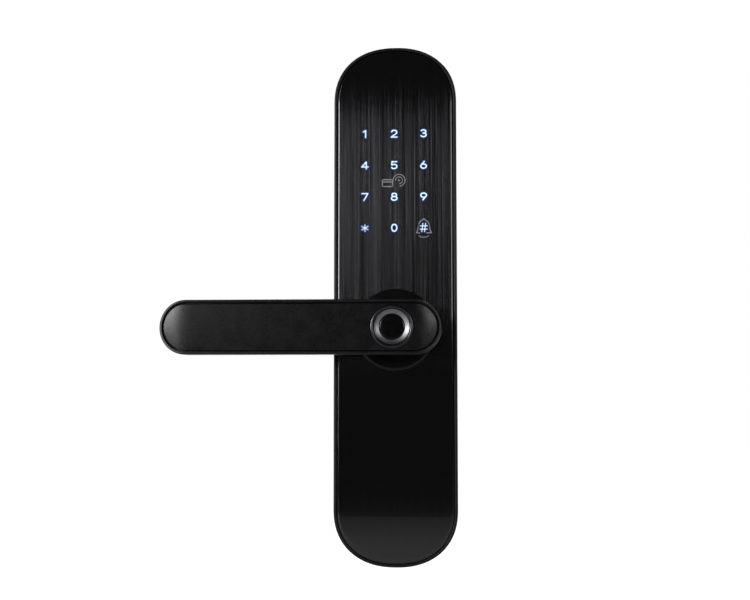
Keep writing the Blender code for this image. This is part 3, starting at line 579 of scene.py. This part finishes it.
def ring_look():
    """Dark chrome, turned: fine rings round the lever's axis."""
    look = Look("dark_chrome", Metallic=1.0)
    rings = look.node("TexWave", {"wave_type": "RINGS", "rings_direction": "Y"},
                      Vector=look.where, Scale=900.0, Distortion=1.5, Detail=2.0)
    stains = look.noise(300.0, 3.0)
    look.colour(look.mix(look.range(stains, 0, 1), (0.26, 0.26, 0.268), (0.33, 0.33, 0.34)))
    look.rough(look.add(look.range(rings.outputs["Fac"], 0.34, 0.40, 0.0, 1.0),
                        look.range(stains, -0.02, 0.03)))
    look.bump(rings.outputs["Fac"], 0.0015)
    return look.material


def sensor_look():
    """The sensor's black glaze, with its faint grid of cells."""
    look = Look("sensor_black", Specular_IOR_Level=0.4)
    cells = look.node("TexVoronoi", {"feature": "DISTANCE_TO_EDGE"}, Vector=look.where,
                      Scale=3000.0, Randomness=0.0).outputs["Distance"]
    haze = look.noise(500.0, 3.0)
    look.colour(look.mix(look.range(haze, 0, 1), (0.0015, 0.0015, 0.002), (0.003, 0.003, 0.0035)))
    look.rough(look.range(haze, 0.14, 0.20))
    look.bump(cells, 0.004)
    return look.material


def board_look():
    """Solder mask with tracks under it."""
    look = Look("board_green", Coat_Weight=0.4, Coat_Roughness=0.2)
    tracks = look.node("TexVoronoi", {"feature": "DISTANCE_TO_EDGE", "distance": "MANHATTAN"},
                       Vector=look.where, Scale=420.0, Randomness=0.35).outputs["Distance"]
    over = look.range(tracks, 1, 0, 0.02, 0.09)
    look.colour(look.mix(over, (0.008, 0.055, 0.02), (0.03, 0.14, 0.05)))
    look.rough(look.range(look.noise(900.0), 0.3, 0.45))
    look.bump(over, 0.03)
    return look.material


def rubber_look():
    """Matt black rubber with a little dust on it."""
    look = Look("rubber", Specular_IOR_Level=0.3)
    fine = look.noise(4200.0, 3.0, 0.7)
    dust = look.noise(70.0, 5.0, 0.65)
    look.colour(look.mix(look.range(dust, 0, 1), (0.016, 0.016, 0.016), (0.034, 0.034, 0.033)))
    look.rough(look.add(look.range(dust, 0.72, 0.86), look.range(fine, -0.05, 0.05)))
    look.bump(fine, 0.02)
    return look.material


def make_looks():
    """A material for each slot of the record, and one each for the rosette and the bezel."""
    return {
        "case_black": paint("case_black", (0.0045, 0.0045, 0.005), 0.38, 0.30, 0.004),
        "rosette": paint("rosette_black", (0.0035, 0.0035, 0.004), 0.2, 0.30, 0.003,
                         Specular_IOR_Level=0.4),
        "bezel": metal("bezel_black", (0.085, 0.085, 0.09), 0.26, 0.35, 0.003),
        "glass_black": front_glass_look(),
        "lever_black": paint("lever_black", (0.0045, 0.0045, 0.005), 0.34, 0.30, 0.004),
        "face_black": paint("face_black", (0.0058, 0.0058, 0.0068), 0.27, 0.42, 0.012, 9.0,
                            Specular_IOR_Level=0.4),
        "dark_chrome": ring_look(),
        "sensor_black": sensor_look(),
        "board_green": board_look(),
        "copper_coil": metal("copper_coil", (0.62, 0.27, 0.13), 0.35, 0.3, 0.01),
        "dark_plastic": paint("dark_plastic", (0.015, 0.015, 0.016), 0.5, 0.4, 0.02),
        "white_polymer": paint("white_polymer", (0.62, 0.61, 0.57), 0.42, 0.5, 0.01,
                               Subsurface_Weight=0.1, Subsurface_Scale=0.002),
        "steel": metal("steel", (0.50, 0.50, 0.51), 0.33, 0.35, 0.006, (1, 0.06, 1)),
        "dark_steel": metal("dark_steel", (0.16, 0.16, 0.165), 0.42, 0.35, 0.006),
        "spring_steel": metal("spring_steel", (0.42, 0.41, 0.40), 0.28, 0.3, 0.004),
        "brass": metal("brass", (0.60, 0.43, 0.19), 0.34, 0.35, 0.006, (1, 1, 0.08)),
        "rubber": rubber_look(),
    }


LOOKS = make_looks()


def finish_piece(piece, body, slot, *nodes):
    """Gives a new piece its material, its body and the CAD nodes it stands for."""
    piece.data.materials.clear()
    piece.data.materials.append(LOOKS[slot])
    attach(piece, body)
    if nodes:
        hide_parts(*nodes)
    return piece


# ---------------------------------------------------------------- case and glass

def make_case():
    """The case: a rounded shell with a thin front rim, open at the back."""
    back, front = CASE_DEPTH
    wall_back = span("key_light_shield")[2][0] + 0.3
    seat = GLASS_DEPTH[0] - 0.3
    profile = [(WALL, wall_back), (WALL, back + 0.3), (WALL - 0.3, back), (0.35, back),
               (0.1, back + 0.1), (0.0, back + 0.4)]
    profile += [(RIM_ROUND - x, front - RIM_ROUND + d)
                for x, d in arc(RIM_ROUND, 0, 90, 8)]
    profile += [(RIM - 0.25, front), (RIM - 0.08, front - 0.07), (RIM, front - 0.25), (RIM, seat)]
    case = swept("case_shell", case_outline, profile)
    join(case, slab("bottom_block", bottom_strip(*BLOCK_SPAN, 1.0, 5.0), BLOCK_BACK, wall_back + 1))
    pin = pivot("flap_swing")
    recess_back, recess_front = RECESS_DEPTH
    cut(case,
        bore("bush_bore", *BUSH_BORE, 64),
        slab("key_window", rounded_rectangle(*KEY_WINDOW), wall_back - 1, seat + 1),
        slab("flap_recess", bottom_strip(*RECESS_SPAN, -1.5, 2.1), *RECESS_DEPTH),
        bore("knuckle_room", KNUCKLE_ROOM, *RECESS_DEPTH, 40, pin),
        bore("flap_pin_hole", PIN_ROOM, recess_back - 1.9, recess_front + 1.9, 24, pin),
        bore("key_hole", *KEY_HOLE, 64, (0, KEY_DEPTH), "up"),
        raised("socket_hole", rounded_rectangle(*SOCKET_HOLE), *SOCKET_REACH))
    finish_piece(case, "case", "case_black", "housing")


def make_flap():
    """The rubber flap over the key hole and the socket, with grip grooves at its free end."""
    back, front = span("dust_flap")[2]
    pin = pivot("flap_swing")
    flap = slab("flap_cover", bottom_strip(*FLAP_SPAN, 0.1, 1.8), back, front)
    join(flap, bore("flap_knuckle", KNUCKLE, back + 0.05, front - 0.05, 40, pin))
    grooves = [bottom_strip(x, x + GRIP_WIDTH, -1, 0.45, 2) for x in FLAP_GRIP]
    cut(flap,
        bore("flap_bore", PIN_ROOM, back - 1, front + 1, 24, pin),
        *[slab("flap_groove", groove, back + 1.2, front - 1.2) for groove in grooves])
    add_bevel(flap, 0.22)
    settle(flap)
    finish_piece(flap, "flap", "rubber", "dust_flap")


def spindle_edge(inset):
    return circle(SPINDLE_HOLE - inset, steps=96)


def cable_edge(inset):
    x, up, width, height, corner = CABLE_HOLE
    return rounded_rectangle(x, up, width - 2 * inset, height - 2 * inset, corner - inset)


def make_gasket():
    """The soft gasket, with sealing beads round its edge, the spindle and the cable."""
    back, front = span("gasket")[2]
    web = back + BEAD_RISE
    gasket = slab("gasket_seal", case_outline(GASKET_INSET), web, front)
    bead = [(-BEAD_HALF, web + 0.2), (-0.65, back + 0.12), (-0.3, back), (0.3, back),
            (0.65, back + 0.12), (BEAD_HALF, web + 0.2)]
    inner_bead = [(i - BEAD_MARGIN, d) for i, d in bead]
    outer_bead = [(i + BEAD_MARGIN, d) for i, d in bead]
    join(gasket,
         swept("edge_bead", case_outline, outer_bead, closed=True),
         swept("spindle_bead", spindle_edge, inner_bead, closed=True),
         swept("cable_bead", cable_edge, inner_bead, closed=True))
    through = (back - 1, front + 0.8)
    holes = [slab("hole", cable_edge(0), *through),
             bore("hole", SPINDLE_HOLE, *through, 96),
             bore("hole", TAMPER_HOLE, *through, 32, TAMPER)]
    holes += [bore("hole", POST_HOLE, *through, 48, middle(post)) for post in POSTS]
    holes += [bore("hole", SCREW_HOLE, *through, 40, middle(screw)) for screw in BACK_SCREWS]
    cut(gasket, *holes)
    finish_piece(gasket, "case", "rubber", "gasket")


def make_glass():
    """The cover glass, with a rounded bevel and a round hole for the hub."""
    back, front = GLASS_DEPTH
    bevel = arc(1.0, 0, 90, 10)
    edge = [(GLASS_INSET + 0.15, back), (GLASS_INSET, back + 0.15)]
    edge += [(GLASS_INSET + GLASS_BEVEL * (1 - x), front - GLASS_BEVEL_DEPTH * (1 - d))
             for x, d in bevel]
    loops = [at_depth(case_outline(i), d) for i, d in edge]
    inner = case_outline(edge[-1][0])
    ring = ring_to(inner, GLASS_HOLE)
    loops += [at_depth(between(inner, ring, t), front) for t in (0.02, 0.35, 0.7, 1.0)]
    loops += [at_depth(ring, back)]
    glass = skin("glass_panel", loops, closed=True)
    finish_piece(glass, "case", "glass_black", "front_glass")


# ---------------------------------------------------------------- keypad marks

def ellipse(x, up, half_width, half_height, start, stop, steps=20):
    points = []
    for i in range(steps + 1):
        a = math.radians(start + (stop - start) * i / steps)
        points.append((x + half_width * math.cos(a), up + half_height * math.sin(a)))
    return points


def glyph(label):
    """The strokes of a mark, in a square from -0.5 to 0.5."""
    shapes = {
        "0": [ellipse(0, 0, 0.40, 0.5, 0, 360, 32)],
        "1": [[(-0.24, 0.30), (0.10, 0.5), (0.10, -0.5)]],
        "2": [ellipse(0, 0.18, 0.42, 0.32, 165, -20, 16) + [(-0.46, -0.5), (0.47, -0.5)]],
        "3": [ellipse(0, 0.25, 0.38, 0.25, 150, -70, 16) + [(-0.06, 0.02)],
              [(-0.06, 0.02)] + ellipse(0, -0.22, 0.43, 0.28, 75, -155, 18)],
        "4": [[(0.20, -0.5), (0.20, 0.5), (-0.5, -0.22), (0.5, -0.22)]],
        "5": [[(0.40, 0.5), (-0.34, 0.5), (-0.40, 0.06)]
              + ellipse(-0.02, -0.19, 0.45, 0.31, 135, -150, 18)],
        "6": [[(0.12, 0.5), (-0.30, 0.05)], ellipse(0, -0.19, 0.44, 0.31, 0, 360, 28)],
        "7": [[(-0.46, 0.5), (0.46, 0.5), (-0.16, -0.5)]],
        "8": [ellipse(0, 0.26, 0.36, 0.24, 0, 360, 24), ellipse(0, -0.23, 0.44, 0.27, 0, 360, 26)],
        "9": [[(-0.12, -0.5), (0.30, -0.05)], ellipse(0, 0.19, 0.44, 0.31, 0, 360, 28)],
        "*": [[(0, 0.40), (0, -0.42)], [(-0.40, 0.20), (0.40, -0.22)],
              [(-0.40, -0.22), (0.40, 0.20)]],
        "#": [[(-0.10, 0.5), (-0.24, -0.5)], [(0.24, 0.5), (0.10, -0.5)],
              [(-0.44, 0.2), (0.46, 0.2)], [(-0.46, -0.2), (0.44, -0.2)]],
    }
    return shapes[label]


def placed(paths, x, up, width, height):
    return [[(x + a * width, up + b * height) for a, b in path] for path in paths]


def make_marks():
    """The lit key marks with their halo, and the bell and card marks in grey ink with a painted
    glow.
    """
    depth = GLASS_DEPTH[1]
    lit = []
    crossed = []
    for row, labels in zip(ROWS, LABELS):
        for column, label in zip(COLUMNS, labels):
            if label in SIGNS:
                crossed += placed(glyph(label), column, row, *SIGN_SIZE)
            else:
                lit += placed(glyph(label), column, row, *DIGIT_SIZE)
    LOOKS["glow"] = glow_look("key_glow", (0.72, 0.87, 1.0), 1.0)
    LOOKS["halo"] = glow_look("key_halo", (0.004, 0.028, 0.20), 0.32)
    LOOKS["ink"] = glowing_print_look()
    for name, paths, width, lift, look in (
            ("key_halo", lit + crossed, 2.5, 0.012, "halo"),
            ("key_digits", lit, 0.74, 0.024, "glow"),
            ("key_signs", crossed, 0.50, 0.024, "glow")):
        piece = stroke(name, paths, width, depth + lift)
        piece.data.materials.append(LOOKS[look])
        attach(piece, "case")

    hash_x, hash_up = COLUMNS[2], ROWS[3]
    bell = [(-4.2, -3.1), (4.4, -3.1), (3.6, -1.2), (3.2, 1.7), (2.4, 3.4), (0.9, 4.4), (0.1, 5.2),
            (-0.7, 4.4), (-2.2, 3.4), (-3.0, 1.7), (-3.4, -1.2), (-4.2, -3.1)]
    clapper = ellipse(0, -4.4, 2.8, 1.25, 200, 340, 12)
    wave_centre = (2.3, 86.8)
    waves = [arc(r, 180, -80, 28, wave_centre) for r in (2.0, 3.5)]
    dot = [circle(0.4, wave_centre, 12) + [(wave_centre[0] + 0.4, wave_centre[1])]]
    card = rounded_rectangle(-4.4, 85.2, 6.0, 4.0, 0.7, 4)
    stripe = [(-7.2, 85.9), (-1.6, 85.9)]
    marks = [[(hash_x + x, hash_up + up) for x, up in bell],
             [(hash_x + x, hash_up + up) for x, up in clapper],
             card + card[:1], stripe] + waves + dot
    piece = stroke("touch_marks", marks, 0.42, depth + 0.01)
    # The grey ink carries a painted glow, not light from a lamp.
    piece.data.materials.append(LOOKS["ink"])
    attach(piece, "case")


# ---------------------------------------------------------------- rosette and lever

def make_rosette():
    """The round collar behind the lever."""
    (_, radius), _, (back, front) = span("rosette")
    seat = GLASS_DEPTH[1] + 0.3
    spigot = 18.6
    rounding = 1.7
    profile = [(12.4, back), (12.4, front - 0.35), (12.5, front - 0.1), (12.75, front)]
    profile += [(radius - rounding + x, front - rounding + d)
                for x, d in arc(rounding, 90, 0, 14)]
    profile += [(radius, seat + 0.25), (radius - 0.25, seat), (spigot, seat), (spigot, back)]
    rosette = turned("rosette_cover", profile, 160, closed=True)
    finish_piece(rosette, "case", "case_black", "rosette")
    rosette.data.materials[0] = LOOKS["rosette"]


def roll(x):
    """How far the lever's front falls back near its two ends."""
    left, right = LEVER_X
    inside = max(0.0, ROLL_REACH - min(x - left, right - x))
    bend = min(inside, ROLL_BEND)
    return ROLL_SLOPE * (bend * bend / (2 * ROLL_BEND) + inside - bend)


def crown(x, up):
    """How far the lever's face falls back from the middle of its front."""
    share = up / LEVER_HALF
    near = math.hypot(x, up)
    flat = max(0.0, min(1.0, (near - CROWN_START) / CROWN_FADE))
    fall = roll(x)
    return fall + (FACE_CROWN + END_CROWN * fall) * share * share * flat


def make_lever_body():
    """The lever casting: a bar with a rim round its tray, and the neck that holds the shaft."""
    front = LEVER_FRONT
    profile = [(LEVER_BACK_ROUND * (1 - x), LEVER_BACK + LEVER_BACK_ROUND * (1 - d))
               for d, x in arc(1.0, 0, 90, 10)]
    profile += [(LEVER_RIM_ROUND * (1 - x), front - LEVER_RIM_ROUND * (1 - d))
                for x, d in arc(1.0, 0, 90, 8)]
    profile += [(LEVER_RIM - 0.12, front), (LEVER_RIM - 0.03, front - 0.05),
                (LEVER_RIM, front - 0.16), (LEVER_RIM, LEVER_TRAY)]
    loops = []
    for inset, depth in profile:
        outline = lever_outline(inset)
        share = max(0.0, min(1.0, (depth - ROLL_DEPTH) / (front - ROLL_DEPTH)))
        loops.append([(x, up, depth - roll(x) * share) for x, up in outline])
    body = skin("lever_bar", loops)
    neck = [(1.0, 49.5), (14.6, 49.5), (14.1, 48.1), (13.3, 46.9), (12.6, 45.4), (12.15, 44.0),
            (12.0, 42.5), (12.0, 21.8), (11.7, 21.4), (1.0, 21.4)]
    join(body, turned("neck", neck, 128))
    cut(body,
        bore("sensor_pocket", *SENSOR_POCKET, 96),
        bore("shaft_socket", *SHAFT_SOCKET, 64),
        bore("set_screw_hole", *SET_SCREW_HOLE, 32, (0, SET_SCREW_DEPTH), "up"))
    finish_piece(body, "lever", "lever_black", "lever_body")


def make_lever_face():
    """The lever's face plate, slightly crowned and falling back at both ends."""
    back, front = span("lever_face")[2]
    inset = LEVER_RIM + LEVER_GROOVE
    rounding = 0.45
    edge = [(inset + 0.1, back), (inset, back + 0.1)]
    edge += [(inset + rounding * (1 - x), front - rounding * (1 - d))
             for x, d in arc(1.0, 0, 90, 6)]
    loops = [[(x, up, d - crown(x, up)) for x, up in lever_outline(i)] for i, d in edge]
    outer = lever_outline(edge[-1][0])
    inner = ring_to(outer, SENSOR_HOLE)
    shares = [0.004, 0.02] + [0.02 + 0.94 * i / 44 for i in range(1, 45)] + [0.985, 1.0]
    for share in shares:
        loops.append([(x, up, front - crown(x, up)) for x, up in between(outer, inner, share)])
    loops.append(at_depth(inner, back))
    face = skin("lever_front", loops, closed=True)
    finish_piece(face, "lever", "face_black", "lever_face")


def make_sensor():
    """The fingerprint reader: rounded bezel, bright funnel and black window."""
    bezel = [(9.9, SENSOR_SEAT), (9.9, 62.85)]
    bezel += [(10.85 - 0.95 * x, 62.75 + 0.62 * d) for x, d in arc(1.0, 0, 90, 8)]
    bezel += [(10.85 + 1.0 * x, 62.75 + 0.62 * d) for x, d in arc(1.0, 80, 0, 8)]
    bezel += [(11.85, SENSOR_SEAT)]
    ring = finish_piece(turned("sensor_bezel", bezel, 128, closed=True), "lever", "lever_black",
                        "fingerprint_bezel")
    ring.data.materials[0] = LOOKS["bezel"]
    funnel = [(7.15, SENSOR_SEAT), (7.15, 61.35), (7.19, 61.46), (7.3, 61.52), (7.65, 61.61),
              (8.05, 61.735), (8.45, 61.88), (8.8, 62.03), (9.1, 62.175), (9.35, 62.32),
              (9.5, 62.38), (9.6, 62.34), (9.65, 62.2), (9.65, SENSOR_SEAT)]
    finish_piece(turned("sensor_funnel", funnel, 128, closed=True), "lever", "dark_chrome",
                 "fingerprint_ring")
    disc = [(0.001, 61.2), (3.0, 61.2), (6.2, 61.18), (6.55, 61.12), (6.78, 60.98), (6.86, 60.8),
            (6.86, SENSOR_SEAT), (0.001, SENSOR_SEAT)]
    finish_piece(turned("sensor_window", disc, 96), "lever", "sensor_black", "fingerprint_sensor")


# ---------------------------------------------------------------- tamper spring

def make_tamper_spring():
    """A coil of three turns round the tamper plunger."""
    wire = 0.2
    radius = 2.1
    start, stop = 4.9, 9.0
    turns = 3
    steps = 30
    loops = []
    for i in range(turns * steps + 1):
        a = 2 * math.pi * i / steps
        depth = start + (stop - start) * i / (turns * steps)
        section = []
        for out, rise in circle(wire, steps=10):
            reach = radius + out
            section.append((TAMPER[0] + reach * math.cos(a), TAMPER[1] + reach * math.sin(a),
                            depth + rise))
        loops.append(section)
    coil = finish_piece(skin("tamper_coil", loops), "case", "spring_steel", "tamper_spring")
    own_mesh(coil)


# ---------------------------------------------------------------- carried CAD nodes

def dress_nodes():
    """Gives every CAD node that still shows the material of its slot."""
    for row in frame["record"]["subparts"]:
        shown = frame["nodes"][row["node"]]
        if shown.hide_render:
            continue
        shown.data.materials.clear()
        shown.data.materials.append(LOOKS[row["material_slot"]])


def round_off(width, *names):
    """Rounds the sharp edges of CAD nodes that show, with modifiers."""
    for name in names:
        shown = frame["nodes"][name]
        weld = shown.modifiers.new("weld", "WELD")
        weld.merge_threshold = 1e-6
        add_bevel(shown, width)


# ---------------------------------------------------------------- studio

def add_camera():
    data = bpy.data.cameras.new("camera")
    data.lens = LENS
    data.sensor_width = 36.0
    data.clip_start = 0.01
    camera = link("camera", data)
    camera.location = CAMERA_PLACE
    camera.rotation_euler = (math.radians(90 + CAMERA_PITCH), 0, math.radians(CAMERA_YAW))
    bpy.context.scene.camera = camera


def add_panel(name, centre, target, width, height, power):
    """A soft rectangular studio light, facing a target."""
    data = bpy.data.lights.new(name, "AREA")
    data.shape = "RECTANGLE"
    data.size = width
    data.size_y = height
    data.energy = power
    light = link(name, data)
    light.location = centre
    aim = Vector(target) - Vector(centre)
    light.rotation_euler = aim.to_track_quat("-Z", "Y").to_euler()


def floor_look():
    """A pale sweep that grows brighter towards the back."""
    look = Look("floor_pale", Roughness=0.75, Emission_Strength=1.0)
    mottle = look.noise(3.0, 3.0)
    look.colour(look.mix(look.range(mottle, 0, 1), (0.60, 0.60, 0.60), (0.64, 0.64, 0.64)))
    axes = look.node("SeparateXYZ", None, Vector=look.where)
    near = look.range(axes.outputs["Y"], 0.055, 0.0, -1.8, -1.2)
    far = look.range(axes.outputs["Y"], 0.0, 1.05, -0.1, 0.75)
    tone = look.add(near, far)
    glow = look.node("CombineColor", None, Red=tone, Green=tone, Blue=tone)
    look.set(look.shader, {"Emission_Color": glow.outputs["Color"]})
    return look.material


def add_floor():
    corners = [(-FLOOR_HALF, FLOOR_FRONT), (FLOOR_HALF, FLOOR_FRONT),
               (FLOOR_HALF, FLOOR_BACK), (-FLOOR_HALF, FLOOR_BACK)]
    mesh = bpy.data.meshes.new("floor")
    mesh.from_pydata([(x, y, FLOOR_LEVEL) for x, y in corners], [], [(0, 1, 2, 3)])
    floor = link("floor", mesh)
    floor.data.materials.append(floor_look())


def add_world():
    """White behind the object, and dim even light on it."""
    world = bpy.data.worlds.new("studio")
    world.use_nodes = True
    tree = world.node_tree
    background = tree.nodes["Background"]
    seen = tree.nodes.new("ShaderNodeLightPath")
    tone = tree.nodes.new("ShaderNodeMix")
    tone.data_type = "RGBA"
    tone.inputs[6].default_value = (0.04, 0.04, 0.043, 1)
    tone.inputs[7].default_value = (1.0, 1.0, 1.0, 1)
    tree.links.new(seen.outputs["Is Camera Ray"], tone.inputs["Factor"])
    tree.links.new(tone.outputs[2], background.inputs["Color"])
    bpy.context.scene.world = world


def add_studio():
    bpy.context.scene.view_settings.view_transform = "Standard"
    add_camera()
    add_world()
    add_floor()
    for panel in PANELS:
        add_panel(*panel)


make_case()
make_flap()
make_gasket()
make_glass()
make_marks()
make_rosette()
make_lever_body()
make_lever_face()
make_sensor()
make_tamper_spring()
dress_nodes()
round_off(0.5, "spindle")
round_off(0.35, *POSTS)
round_off(0.15, *BACK_SCREWS, "tamper_plunger", "cable_grommet", "key_plug", "key_cylinder",
          "power_socket", "lever_set_screw")
add_studio()
